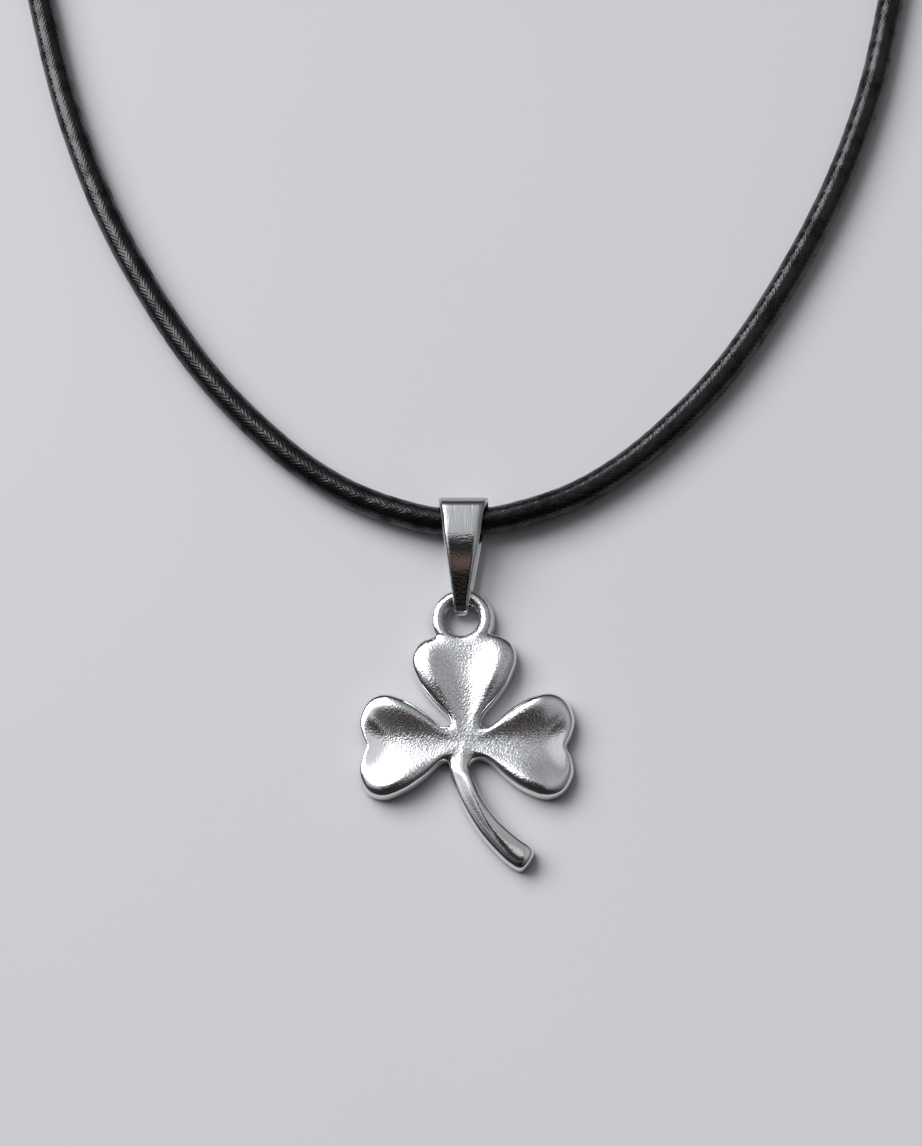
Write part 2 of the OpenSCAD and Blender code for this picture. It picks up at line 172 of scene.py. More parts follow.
cord_line = curve_through(CORD_ROUTE, ROUTE_STEPS)
cord_line[:, 2] = np.maximum(cord_line[:, 2], CORD_D / 2)
cord_path, cord_run = even_steps(cord_line, CORD_STEP)
ahead = np.gradient(cord_path, axis=0)
ahead /= np.linalg.norm(ahead, axis=1, keepdims=True)
aside = np.cross([0, 0, 1], ahead)
aside /= np.linalg.norm(aside, axis=1, keepdims=True)
upward = np.cross(ahead, aside)
around = np.arange(CORD_SIDES) / CORD_SIDES
relief = braid_height(around[None, :], cord_run[:, None])
radius = CORD_D / 2 - CORD_RELIEF * (1 - relief)
turn = 2 * np.pi * around
cord = grid_mesh(
    "braided_cord",
    cord_path[:, None] + radius[..., None] * (np.cos(turn)[None, :, None] * aside[:, None]
                                              + np.sin(turn)[None, :, None] * upward[:, None]),
    uv=(1 / CORD_SIDES, cord_run[-1] / (len(cord_run) - 1) / CORD_LAY), caps=True)


def joined(tree, kind, sources, **settings):
    """A new node of that kind with its settings made and its inputs fed: each source is a socket
    to link or a constant, by the input's number or name."""
    node = tree.nodes.new(kind)
    for key, value in settings.items():
        setattr(node, key, value)
    for key, value in sources.items():
        if isinstance(value, bpy.types.NodeSocket):
            tree.links.new(value, node.inputs[key])
        elif value is not None:
            node.inputs[key].default_value = value
    return node


def sums(tree, operation, a, b=None, c=None):
    """The result socket of a Math node."""
    return joined(tree, "ShaderNodeMath", {0: a, 1: b, 2: c}, operation=operation).outputs[0]


def spread(tree, value, from_min, from_max, to_min=0.0, to_max=1.0, soft=False):
    """The value moved from the first range into the second and kept inside it, along a straight
    line or a soft S."""
    return joined(tree, "ShaderNodeMapRange", {
        "Value": value, "From Min": from_min, "From Max": from_max, "To Min": to_min, "To Max": to_max},
        interpolation_type="SMOOTHSTEP" if soft else "LINEAR").outputs[0]


def mixed(tree, share, first, second):
    """The first colour, with a share of it changed into the second."""
    return joined(tree, "ShaderNodeMix", {0: share, 6: first, 7: second}, data_type="RGBA").outputs[2]


def blended(tree, share, first, second):
    """The first value, with a share of it changed into the second."""
    return joined(tree, "ShaderNodeMix", {0: share, 2: first, 3: second}, data_type="FLOAT").outputs[0]


def noise(tree, place, scale, detail):
    """Cloudy noise from 0 to 1, with so many cells a unit of place."""
    return joined(tree, "ShaderNodeTexNoise", {"Vector": place, "Scale": scale, "Detail": detail}).outputs[0]


def bumped(tree, height, depth, strength=1.0):
    """The normal of a surface raised by the depth where the height is 1."""
    sources = {"Strength": strength, "Distance": depth, "Height": height}
    return joined(tree, "ShaderNodeBump", sources).outputs[0]


def object_place(tree):
    """The point's place on the finished piece, in metres."""
    return tree.nodes.new("ShaderNodeTexCoord").outputs["Object"]


def new_material(name, **shader):
    """A material with one Principled BSDF, whose constants are set on its own sockets."""
    material = bpy.data.materials.new(name)
    material.use_nodes = True
    bsdf = material.node_tree.nodes["Principled BSDF"]
    for socket, value in shader.items():
        bsdf.inputs[socket.replace("_", " ")].default_value = value
    return material, material.node_tree, bsdf


def feed(tree, bsdf, **sources):
    """Links each source to the shader's socket of that name."""
    for socket, source in sources.items():
        tree.links.new(source, bsdf.inputs[socket.replace("_", " ")])


def placed(tree, group, **sources):
    """A node group placed in a material, with inputs of its own: the socket that it puts out."""
    return joined(tree, "ShaderNodeGroup", sources, node_tree=group).outputs[0]


def node_group(name, inputs, output):
    """An empty shader node group with these float or vector inputs and one float output, with its
    two end nodes."""
    group = bpy.data.node_groups.new(name, "ShaderNodeTree")
    for socket, value in inputs.items():
        kind = "NodeSocketVector" if isinstance(value, tuple) else "NodeSocketFloat"
        made = group.interface.new_socket(socket, in_out="INPUT", socket_type=kind)
        made.default_value = value
    group.interface.new_socket(output, in_out="OUTPUT", socket_type="NodeSocketFloat")
    return group, group.nodes.new("NodeGroupInput"), group.nodes.new("NodeGroupOutput")


# Fine yarns inside each strand of the braid: parallel lines that follow the strand on top, given as
# a height from 0 to 1.
yarn, yarn_in, yarn_out = node_group(
    "braid_yarns", {"UV": (0.0, 0.0, 0.0), "Strands": 8.0, "Yarns": 3.0}, "Height")
uv_parts = joined(yarn, "ShaderNodeSeparateXYZ", {0: yarn_in.outputs["UV"]})
winds = []
for operation in ("ADD", "SUBTRACT"):
    place = sums(yarn, operation, uv_parts.outputs[0], uv_parts.outputs[1])
    winds.append(sums(yarn, "MULTIPLY", place, yarn_in.outputs["Strands"]))
cell = sums(yarn, "ADD", sums(yarn, "FLOOR", winds[0]), sums(yarn, "FLOOR", winds[1]))
odd = sums(yarn, "FLOORED_MODULO", cell, 2.0)
across = sums(yarn, "MULTIPLY", blended(yarn, odd, winds[0], winds[1]), yarn_in.outputs["Yarns"])
lines = sums(yarn, "SINE", sums(yarn, "MULTIPLY", across, 2 * math.pi))
yarn.links.new(sums(yarn, "MULTIPLY_ADD", lines, 0.5, 0.5), yarn_out.inputs["Height"])

cord_wax, tree, bsdf = new_material("black_waxed_braid", Roughness=0.6, Specular_IOR_Level=0.02, Coat_IOR=1.5)
cord_uv = tree.nodes.new("ShaderNodeUVMap").outputs[0]
yarns = placed(tree, yarn, UV=cord_uv, Strands=CORD_STRANDS, Yarns=YARNS)
wax = noise(tree, object_place(tree), WAX_CELLS, 3.0)
patchy = noise(tree, object_place(tree), PATCH_CELLS, 2.0)
glossy = sums(tree, "MULTIPLY_ADD", yarns, GLOSS_YARNS, patchy)
bump = bumped(tree, sums(tree, "MULTIPLY_ADD", wax, WAX_SHARE, yarns), YARN_DEPTH)
feed(tree, bsdf, Normal=bump, Coat_Normal=bump, Base_Color=mixed(tree, yarns, CORD_DARK, CORD_PALE),
     Coat_Weight=spread(tree, glossy, *GLOSS_PATCHES, GLOSS_LEAST, 1.0),
     Coat_Roughness=sums(tree, "MULTIPLY_ADD", wax, WAX_ROUGHER, WAX_ROUGH))
cord.data.materials.append(cord_wax)

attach(cord, "root")
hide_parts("cord")

# Shamrock: one casting of silver-coloured metal. Three leaves and the stem spread from the hub with a
# flat back; each leaf has a sunk valley along its middle, polished crests and a rolled rim. It is
# worked out in millimetres and brought to metres when it is finished.
# greatest thickness, a leaf's length and half width, the depth of its valley, how far the side wall
# swells out and how much of that the front edge shares, the stem's length, and the hub's place
CAST_T = 2.75
LEAF_L = 10.65
LEAF_W = 5.35
VALLEY_D = 1.0
WALL_SWELL = 0.38
EDGE_OUT = 0.22
STEM_L = 12.95
HUB = np.array([-0.05, -6.8])
# A row for each point of a leaf's edge, from the crotch to the notch: its place as shares of the
# leaf's length and half width, and where on the middle line its spoke starts. Then where on the
# spoke the crest is, the valley's depth, how far the crest is sunk, how far it falls towards the
# notch, and the drop of the rim.
# along, aside, spine, crest, valley, sunk, fall, drop
LEAF = np.array([
    [0.258, 0.327, 0.15, 0.66, 0.05, 0.62, 0.00, 0.42],
    [0.432, 0.630, 0.36, 0.72, 0.25, 0.44, 0.00, 0.46],
    [0.601, 0.860, 0.55, 0.77, 0.55, 0.12, 0.00, 0.57],
    [0.808, 1.000, 0.71, 0.79, 0.70, 0.00, 0.09, 0.62],
    [0.967, 0.897, 0.79, 0.80, 0.16, 0.00, 0.66, 0.50],
    [1.052, 0.560, 0.84, 0.76, 0.04, 0.00, 0.78, 0.50],
    [1.032, 0.255, 0.87, 0.74, 0.03, 0.00, 0.79, 0.50],
    [0.986, 0.000, 0.89, 0.72, 0.01, 0.00, 0.81, 0.50],
])
# The same for the stem, from the hub to its cut end: its half width in millimetres, how far the
# middle line leans aside, the ridge along it instead of a valley, and the height of its top.
# along, aside, spine, lean, crest, ridge, top, drop
STEM = np.array([
    [0.035, 0.82, 0.06, 0.30, 0.70, 0.08, 2.10, 0.48],
    [0.140, 0.84, 0.14, 0.60, 0.75, 0.24, 2.06, 0.50],
    [0.330, 0.84, 0.33, 0.60, 0.75, 0.26, 2.06, 0.50],
    [0.580, 0.92, 0.58, 0.20, 0.40, 0.10, 2.08, 0.38],
    [0.820, 1.05, 0.81, 0.00, 0.12, 0.00, 2.10, 0.32],
    [0.940, 1.10, 0.89, 0.00, 0.12, 0.00, 2.10, 0.32],
    [0.990, 0.93, 0.92, 0.00, 0.20, 0.00, 2.10, 0.32],
    [1.005, 0.45, 0.935, 0.00, 0.30, 0.00, 2.10, 0.32],
    [1.008, 0.00, 0.945, 0.00, 0.35, 0.00, 2.10, 0.32],
])
# The crotch before each arm and the arm's start, both from the hub, its direction in degrees and its
# bend in degrees a mm, and its shares of the valley, of the fall and of the crest.
# crotch_x, crotch_y, start_x, start_y, direction, bend, valley, fall, crest
ARMS = np.array([
    [1.22, -1.62, 0.05, 0.0, -2, 0, 1, 1, 1],
    [1.68, 1.92, 0.08, 0.5, 91.5, 0, 0.75, 0.70, 0.84],
    [-1.62, 2.12, 0.05, 0.0, 181, 0, 1, 1, 1],
    [-1.78, -2.02, -0.74, -2.2, -78, 3.5, 1, 1, 1],
])
# crest, valley, top, drop, share of the wall's swell
CROTCH = [0.66, 0.0, 2.10, 0.42, 0.4]
# the power of the valley's curve, the least share for a crest, and where the rim starts at the latest
# and how much of its ellipse it takes
VALLEY_CURVE = 2.4
CREST_LEAST = 0.02
RIM = 0.78
STEEP = 0.92
# the side wall from the front edge down: share of the swell, share of the edge's height
WALL = np.array([[0, 1], [0.65, 0.72], [1, 0.30], [0.85, 0]])
WALL_STEPS = 3
# spokes between two rows, and rings of points on the front: up to the rim, then closer over it
FINE = 14
FRONT_RINGS = 24
RIM_RINGS = 20
RIM_FROM = 0.74
# how many spokes the easing reaches to each side, the spread of its weights and its share
EASE_REACH = 2 * FINE
EASE_SPREAD = 0.7 * FINE
EASE_SHARE = 0.9
# points nearer than this become one
WELD = 1e-4


def arm_point(arm, along, aside):
    """Points of an arm: along its middle line, which is straight or an arc, and aside to its left."""
    start, direction, bend = HUB + arm[2:4], np.radians(arm[4]), np.radians(arm[5])
    turned = direction + along * bend
    if bend:
        middle = np.stack([np.sin(turned) - np.sin(direction), np.cos(direction) - np.cos(turned)], -1) / bend
    else:
        middle = along[:, None] * [np.cos(direction), np.sin(direction)]
    return start + middle + aside[:, None] * np.stack([-np.sin(turned), np.cos(turned)], -1)


def leaf_rows(arm):
    """A leaf's rows in millimetres, each the table's length or share times the arm's own: along,
    aside, spine, lean, crest, valley, top, drop and share of the wall's swell."""
    along, aside, spine, crest, valley, sunk, fall, drop = LEAF.T
    valley_share, fall_share, crest_share = arm[6:]
    top = CAST_T - sunk - fall * fall_share
    return np.stack([along * LEAF_L, aside * LEAF_W, spine * LEAF_L, 0 * along, crest * crest_share,
                     valley * valley_share * VALLEY_D, top, drop, 1 + 0 * along], 1)


def stem_rows():
    """The stem's rows in the same columns, with its ridge as a valley of negative depth."""
    along, aside, spine, lean, crest, ridge, top, drop = STEM.T
    return np.stack([along * STEM_L, aside, spine * STEM_L, lean, crest, -ridge, top, drop, 1 + 0 * along], 1)


def front_height(share, crest, valley, top, drop):
    """Height of the front by the share of the way from the middle line to the edge: it rises out of
    the valley as the square of one less a power of the way to the crest, and past the crest or the
    rim it falls along part of an ellipse by the drop."""
    crest = np.clip(crest, CREST_LEAST, None)
    valley_left = np.clip(1 - np.clip(share / crest, 0, 1) ** VALLEY_CURVE, 0, 1) ** 2
    start = np.minimum(crest, RIM)
    way = np.clip((share - start) / (1 - start), 0, 1)
    rolled = (1 - np.sqrt(1 - STEEP * way ** 2)) / (1 - np.sqrt(1 - STEEP))
    return top - valley * valley_left - drop * rolled


def eased(heights):
    """The heights, with every spoke drawn towards the mean of its neighbours on both sides, which
    are weighed by a bell curve."""
    steps = np.arange(-EASE_REACH, EASE_REACH + 1)
    weights = np.exp(-0.5 * (steps / EASE_SPREAD) ** 2)
    mean = sum(np.roll(heights, step, 1) * weight for step, weight in zip(steps, weights / weights.sum()))
    return heights + EASE_SHARE * (mean - heights)


def faces_outward(piece, weld=None):
    """Turns all faces of a closed piece outwards, after welding the points nearer than that."""
    shell = bmesh.new()
    shell.from_mesh(piece.data)
    if weld:
        bmesh.ops.remove_doubles(shell, verts=shell.verts, dist=weld)
    bmesh.ops.recalc_face_normals(shell, faces=shell.faces)
    shell.to_mesh(piece.data)
    shell.free()


edge_corners, spoke_rows = [], []
for arm, rows in zip(ARMS, [*map(leaf_rows, ARMS[:3]), stem_rows()]):
    along, aside, spine, lean = rows[:, :4].T
    out_side = arm_point(arm, along, -aside)
    back_side = arm_point(arm, along[:-1], aside[:-1])[::-1]
    edge_corners.append(np.concatenate([[HUB + arm[:2]], out_side, back_side]))
    half = np.concatenate([[[*HUB, *CROTCH]], np.concatenate([arm_point(arm, spine, lean), rows[:, 4:]], 1)])
    up_arm = curve_through(half, FINE, "mirrored")
    spoke_rows.append(np.concatenate([up_arm, up_arm[-2:0:-1]]))
spokes = np.concatenate(spoke_rows)
spine_xy, crest, valley, top, drop, swell = spokes[:, :2], *spokes[:, 2:].T
share = np.concatenate([
    np.linspace(0, RIM_FROM, FRONT_RINGS, endpoint=False),
    RIM_FROM + (1 - RIM_FROM) * np.sin(np.linspace(0, np.pi / 2, RIM_RINGS))])[:, None]
front_z = eased(front_height(share, crest, valley, top, drop))

front_edge = curve_through(np.concatenate(edge_corners), FINE, "closed")
run = np.roll(front_edge, -1, 0) - np.roll(front_edge, 1, 0)
outward = np.stack([run[:, 1], -run[:, 0]], 1) / np.linalg.norm(run, axis=1, keepdims=True)
front_edge = front_edge + (EDGE_OUT * swell)[:, None] * outward
front_xy = spine_xy + share[..., None] * (front_edge - spine_xy)
wall = curve_through(WALL, WALL_STEPS)[1:]
wall_xy = front_edge + (wall[:, 0, None] * ((WALL_SWELL - EDGE_OUT) * swell))[..., None] * outward
wall_z = wall[:, 1, None] * front_z[-1]
shamrock = grid_mesh("cast_shamrock", np.concatenate([
    np.concatenate([front_xy, front_z[..., None]], -1),
    np.concatenate([wall_xy, wall_z[..., None]], -1),
    np.concatenate([spine_xy, 0 * spine_xy[:, :1]], -1)[None],
]))
faces_outward(shamrock, WELD)

# The ring that the bail hangs in is cast in one with the top leaf: its wire is round in front and has
# an upright wall below, which leans out. A low dome joins it to the leaf, and its hole is cut through
# both. All are remeshed finely, so that they run into each other as in a casting.
# the ring's middle, the radius of its wire's middle line, the wire's width, the ring's height, and the
# points round it and on each stretch of the wire's outline
RING_AT = np.array([-0.41, 6.93])
RING_R = 2.62
RING_WIRE = 1.6
RING_H = 2.2
RING_TURNS = 144
SECTION_STEPS = 4
# share of the wire's width out from its middle, share of the ring's height
RING_SECTION = np.array([
    [-0.44, 0.28], [0.525, 0.28], [0.575, 0.41], [0.51, 0.61], [0.425, 0.82], [0.22, 0.97], [-0.10, 1.00],
    [-0.40, 0.86], [-0.50, 0.64], [-0.50, 0.45],
]) * [RING_WIRE, RING_H]
# the hole is this much wider than the ring's inside, and runs on past the casting at both ends
HOLE_WIDER = 0.06
HOLE_R = RING_R + RING_SECTION[:, 0].min() + HOLE_WIDER
HOLE_ENDS = np.array([-1.0, CAST_T + 1.0])
# the dome's middle, its half sizes, and the angles short of its two poles at which it is closed
ROOT_AT = np.array([RING_AT[0], 4.0, 1.12])
ROOT_SIZE = np.array([2.2, 1.4, 1.05])
ROOT_SHORT = 0.05, 0.02
ROOT_RINGS = 30
# the remesh, the smoothing after it, and the height under which the back is made flat
VOXEL = 0.108
SMOOTH_FACTOR, SMOOTH_ROUNDS = 0.5, 4
FLAT_BACK = 0.06


def turned(middle, reach_x, reach_y, height):
    """Points turned about an upright line: each stands off the middle by its reach times the cosine
    and the sine of the turn, at its height."""
    turn = np.linspace(0, 2 * np.pi, RING_TURNS, endpoint=False)[:, None]
    x, y = middle[0] + reach_x * np.cos(turn), middle[1] + reach_y * np.sin(turn)
    return np.stack(np.broadcast_arrays(x, y, height), -1)


def fade(value, none_at, full_at):
    """0 up to none_at, 1 from full_at on, and a straight line between, whichever of them is more."""
    return np.clip((value - none_at) / (full_at - none_at), 0, 1)


def melted(place, edges, blend, rounds, pull):
    """Every point moved again and again towards the mean of those that it shares an edge with, by
    the pull times its own share of the blend."""
    near = np.concatenate([edges[:, 0], edges[:, 1]])
    far = np.concatenate([edges[:, 1], edges[:, 0]])
    count = np.bincount(near, minlength=len(place))[:, None]
    for _ in range(rounds):
        mean = np.stack([np.bincount(near, place[far, axis], len(place)) for axis in range(3)], 1) / count
        place = place + pull * blend * (mean - place)
    return place


section = curve_through(RING_SECTION, SECTION_STEPS, "closed")
reach = RING_R + section[:, 0]
ring = grid_mesh("ring", turned(RING_AT, reach, reach, section[:, 1]), wrap_rows=True)
hole = grid_mesh("hole", turned(RING_AT, HOLE_R, HOLE_R, HOLE_ENDS).transpose(1, 0, 2), caps=True)
lift = np.linspace(-np.pi / 2 + ROOT_SHORT[0], np.pi / 2 - ROOT_SHORT[1], ROOT_RINGS)
dome = turned(ROOT_AT, ROOT_SIZE[0] * np.cos(lift), ROOT_SIZE[1] * np.cos(lift),
              ROOT_AT[2] + ROOT_SIZE[2] * np.sin(lift))
root = grid_mesh("ring_root", dome.transpose(1, 0, 2), caps=True)
for other, operation in ((root, "UNION"), (hole, "DIFFERENCE"), (ring, "UNION")):
    faces_outward(other)
    cut = shamrock.modifiers.new(operation, "BOOLEAN")
    cut.operation = operation
    cut.object = other
    cut.solver = "EXACT"
even = shamrock.modifiers.new("even", "REMESH")
even.mode = "VOXEL"
even.voxel_size = VOXEL
smooth = shamrock.modifiers.new("smooth", "SMOOTH")
smooth.factor = SMOOTH_FACTOR
smooth.iterations = SMOOTH_ROUNDS
bpy.context.view_layer.update()
finished = bpy.data.meshes.new_from_object(shamrock.evaluated_get(bpy.context.evaluated_depsgraph_get()))
shamrock.modifiers.clear()
shamrock.data = finished
for other in (ring, hole, root):
    bpy.data.objects.remove(other)

# Where the ring runs into the leaf, the front is melted further. Each pair says where the melting
# starts and where it is full: two of them by the distance from the ring's middle, from within and
# from beyond, then one by the place along the leaf and one by the height.
MELT_WITHIN, MELT_BEYOND = (2.2, 2.7), (4.6, 3.8)
MELT_ALONG, MELT_HEIGHT = (5.2, 4.5), (1.0, 1.4)
MELT_ROUNDS = 80
MELT_PULL = 0.6
place = np.zeros(len(finished.vertices) * 3)
finished.vertices.foreach_get("co", place)
place = place.reshape(-1, 3)
place[:, 2] = np.where(place[:, 2] < FLAT_BACK, 0, place[:, 2])
edges = np.zeros(len(finished.edges) * 2, int)
finished.edges.foreach_get("vertices", edges)
from_ring = np.linalg.norm(place[:, :2] - RING_AT, axis=1)
blend = (fade(from_ring, *MELT_WITHIN) * fade(from_ring, *MELT_BEYOND)
         * fade(place[:, 1], *MELT_ALONG) * fade(place[:, 2], *MELT_HEIGHT))[:, None]
place = melted(place, edges.reshape(-1, 2), blend, MELT_ROUNDS, MELT_PULL)
finished.vertices.foreach_set("co", (place * MM).ravel())
finished.update()

# The casting's skin: fine sand grain on what looks up, polish on the rims, walls, leaf tips and stem, and
# painted shade low on the walls, darkest by the floor. Two attributes say how much of each there is.
# Each pair says where a kind of skin starts and where it is full.
GRAIN_FACING = 0.78, 0.94
TIPS_ASIDE = 6.4, 10.0
TIPS_POLISH = 0.8
STEM_ASIDE, STEM_FROM, STEM_LOW = (1.9, 1.3), (-1.0, -2.5), (-5.2, -6.0)
STEM_MIDDLE = -0.3
STEM_POLISH = 0.9
RING_FROM = 4.0, 4.4
RING_GRAIN = 0.8
# heights at which the painted shade low on the walls starts and where it is full
PAINTED_SHADE_HEIGHT = 1.25, 0.30
# the grain's cells and depth, the share of it that polish leaves, the heights between which its
# hollows end, how dark they are, and how rough the metal is where polished and how much more in grain
GRAIN_CELLS = 5000.0
GRAIN_DEPTH = 0.034 * MM
GRAIN_LEFT = 0.06
HOLLOWS = 0.38, 0.60
HOLLOW_SHARE = 0.50
CAST_ROUGH, CAST_ROUGHER = 0.09, 0.06
CAST_BRIGHT = (0.85, 0.85, 0.86, 1)
CAST_PITTED = (0.40, 0.40, 0.41, 1)
# the colour of the painted shade at the foot of the walls, where the casting meets the floor
CAST_PAINTED_SHADE = (0.16, 0.16, 0.17, 1)

finished.polygons.foreach_set("use_smooth", np.ones(len(finished.polygons), bool))
facing = np.zeros(len(finished.vertices) * 3)
finished.vertex_normals.foreach_get("vector", facing)
from_hub = place[:, :2] - HUB
tips = np.minimum(fade(np.abs(from_hub[:, 0]), *TIPS_ASIDE), TIPS_POLISH)
by_stem = fade(np.abs(from_hub[:, 0] - STEM_MIDDLE), *STEM_ASIDE) * fade(from_hub[:, 1], *STEM_FROM)
on_stem = np.maximum(by_stem, fade(from_hub[:, 1], *STEM_LOW))
on_ring = fade(place[:, 1], *RING_FROM)
grain_here = fade(facing.reshape(-1, 3)[:, 2], *GRAIN_FACING) * (1 - tips) * (1 - STEM_POLISH * on_stem)
grain_here = np.maximum(grain_here, RING_GRAIN * on_ring)
# painted shade: the walls darken towards the floor, standing in for the contact shadow there
low = fade(place[:, 2], *PAINTED_SHADE_HEIGHT)
for layer, value in (("grain", grain_here), ("painted_low_shade", low ** 2 * (3 - 2 * low))):
    finished.attributes.new(layer, "FLOAT", "POINT").data.foreach_set("value", value.astype(np.float32))

# The sand grain that the casting and the bail share: a height from 0 to 1 by the place.
sand, sand_in, sand_out = node_group(
    "sand_grain", {"Position": (0.0, 0.0, 0.0), "Cells": GRAIN_CELLS}, "Height")
sand_height = noise(sand, sand_in.outputs["Position"], sand_in.outputs["Cells"], 2.0)
sand.links.new(sand_height, sand_out.inputs["Height"])

cast_silver, tree, bsdf = new_material("cast_silver", Metallic=1.0)
grainy = joined(tree, "ShaderNodeAttribute", {}, attribute_name="grain").outputs["Fac"]
low_shade = joined(tree, "ShaderNodeAttribute", {}, attribute_name="painted_low_shade").outputs["Fac"]
grain = placed(tree, sand, Position=object_place(tree), Cells=GRAIN_CELLS)
depth = sums(tree, "MULTIPLY_ADD", grainy, 1 - GRAIN_LEFT, GRAIN_LEFT)
hollow = sums(tree, "SUBTRACT", 1.0, spread(tree, grain, *HOLLOWS))
pits = sums(tree, "MULTIPLY", hollow, sums(tree, "MULTIPLY", grainy, HOLLOW_SHARE))
# the base colour is darkened low on the walls: painted shade for the contact shadow by the floor
feed(tree, bsdf, Normal=bumped(tree, sums(tree, "MULTIPLY", grain, depth), GRAIN_DEPTH),
     Roughness=sums(tree, "MULTIPLY_ADD", depth, CAST_ROUGHER, CAST_ROUGH),
     Base_Color=mixed(tree, low_shade, mixed(tree, pits, CAST_BRIGHT, CAST_PITTED), CAST_PAINTED_SHADE))
finished.materials.clear()
finished.materials.append(cast_silver)
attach(shamrock, "root")
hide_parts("shamrock")

# Bail: one tapered strap of silver-coloured sheet, folded over the cord and through the ring, with its
# ends joined at the back. Its outer edges are bevelled. It too is worked out in millimetres.
# the sheet's thickness, the heights of the two folds, how strongly the front arches and the angle at
# which the arch meets the upper fold, the widths at the folds, where the arch is highest and where the
# bail ends at the ring, its place across and its turn
STRAP_T = 0.5
FOLD_H = 4.55
TIP_H = 2.6
ARCH = 0.87
ARCH_END = math.radians(3.9)
FOLD_W = 5.45
TIP_W = 1.45
TOP_Y = 17.25
TIP_Y = 7.45
BAIL_X = -0.47
BAIL_TURN = math.radians(-1.3)
# share of the way from the ring to the cord, share of the width gained, bevel
TAPER = np.array([
    [0.00, 0.00, 0.22],
    [0.20, 0.19, 0.25],
    [0.45, 0.45, 0.28],
    [0.66, 0.66, 0.30],
    [0.80, 0.76, 0.34],
    [0.90, 0.89, 0.34],
    [1.00, 1.00, 0.06],
])
# the bevel's greatest share of the thickness, how far the front bends down at its margins, and the
# share of its half width where that bend begins
BEVEL_SHARE = 0.6
CROWN = 0.03
CROWN_FROM = 0.75
# points across the front, on each arc and on a straight run, and the gap under which there is no run
CROWN_POINTS = 25
ARC_POINTS = 40
RUN_POINTS = 20
TOUCHING = 0.01
# the rounding of the sheet's edges, in how many steps, and from which angle an edge is rounded
EDGE_ROUND = 0.05 * MM
EDGE_STEPS = 3
EDGE_ANGLE = math.radians(25)
# where the brushed satin of the fold, which carries painted shade too, begins and where it is full, the
# stretch and the depth of its marks, and how rough the bright front is and how much more the satin
SATIN_SHADE_FROM, SATIN_SHADE_FULL = 14.8 * MM, 16.8 * MM
STRAP_MARKS = (5000.0, 350.0, 350.0)
SKIN_DEPTH = 0.015 * MM
SHEET_ROUGH, SATIN_ROUGHER = 0.07, 0.10
SHEET_BRIGHT = (0.80, 0.80, 0.81, 1)
# the satin's colour is darker: painted shade that dims the reflection on the fold
SHEET_SATIN_SHADE = (0.54, 0.54, 0.55, 1)

# The side view is three arcs, with straight runs between them: a fold round the cord, the long arch
# of the front, which touches both folds, and a small fold round the ring.
tip_r = TIP_H / 2
front_l = TOP_Y - TIP_Y - tip_r
arch_r = ARCH * (front_l ** 2 / (FOLD_H - TIP_H) + FOLD_H) / 2
arch_z = FOLD_H - arch_r
fold_r = (arch_z + arch_r * math.cos(ARCH_END)) / (1 + math.cos(ARCH_END))
fold_y = TOP_Y + (arch_r - fold_r) * math.sin(ARCH_END)
front_rise = arch_z - tip_r
front = math.atan2(front_rise, front_l) + math.acos((tip_r - arch_r) / math.hypot(front_l, front_rise))
# middle y, middle z, radius, first and last outward angle
ARCS = np.array([
    [fold_y, fold_r, fold_r, -math.pi / 2, math.pi / 2 - ARCH_END],
    [TOP_Y, arch_z, arch_r, math.pi / 2 - ARCH_END, front],
    [TIP_Y + tip_r, tip_r, tip_r, front, 1.5 * math.pi],
])


def loop_at(inset):
    """The strap's side view moved inwards: each arc round its own middle at its radius less the
    inset, and a straight run on to the next arc where the two don't touch."""
    parts = []
    for (y, z, r, first, last), (next_y, next_z, next_r, _, _) in zip(ARCS, np.roll(ARCS, -1, 0)):
        angle = np.linspace(first, last, ARC_POINTS)[:, None]
        arc = [y, z] + (r - inset) * np.concatenate([np.cos(angle), np.sin(angle)], 1)
        onward = np.array([next_y, next_z]) + (next_r - inset) * np.array([math.cos(last), math.sin(last)])
        if abs(onward[0] - arc[-1, 0]) > TOUCHING:
            way = np.linspace(0, 1, RUN_POINTS + 2)[1:-1, None]
            parts += [arc, arc[-1] + way * (onward - arc[-1])]
        else:
            parts.append(arc[:-1])
    return np.concatenate(parts)


outer, inner = loop_at(0), loop_at(STRAP_T)
taper_way = np.clip((outer[:, 0] - TIP_Y) / (fold_y + fold_r - TIP_Y), 0, 1)
half_w = (TIP_W + np.interp(taper_way, TAPER[:, 0], TAPER[:, 1]) * (FOLD_W - TIP_W)) / 2
bevel = np.interp(taper_way, TAPER[:, 0], TAPER[:, 2])
inwards = (inner - outer) / STRAP_T
edge = outer + np.minimum(BEVEL_SHARE * STRAP_T, bevel)[:, None] * inwards
lengthways = [((half_w - bevel) * c, outer + CROWN * fade(abs(c), CROWN_FROM, 1) ** 2 * inwards)
              for c in np.linspace(-1, 1, CROWN_POINTS)]
lengthways += [(half_w, edge), (half_w, inner), (-half_w, inner), (-half_w, edge)]
strap = np.stack([np.concatenate([x[:, None], yz], 1) for x, yz in lengthways], 1)
x, y = strap[..., 0].copy(), strap[..., 1] - TIP_Y
strap[..., 0] = BAIL_X + x * math.cos(BAIL_TURN) - y * math.sin(BAIL_TURN)
strap[..., 1] = TIP_Y + x * math.sin(BAIL_TURN) + y * math.cos(BAIL_TURN)
bail = grid_mesh("folded_bail", strap * MM, wrap_rows=True)
faces_outward(bail)
rounded = bail.modifiers.new("rounded_edges", "BEVEL")
rounded.width = EDGE_ROUND
rounded.segments = EDGE_STEPS
rounded.limit_method = "ANGLE"
rounded.angle_limit = EDGE_ANGLE

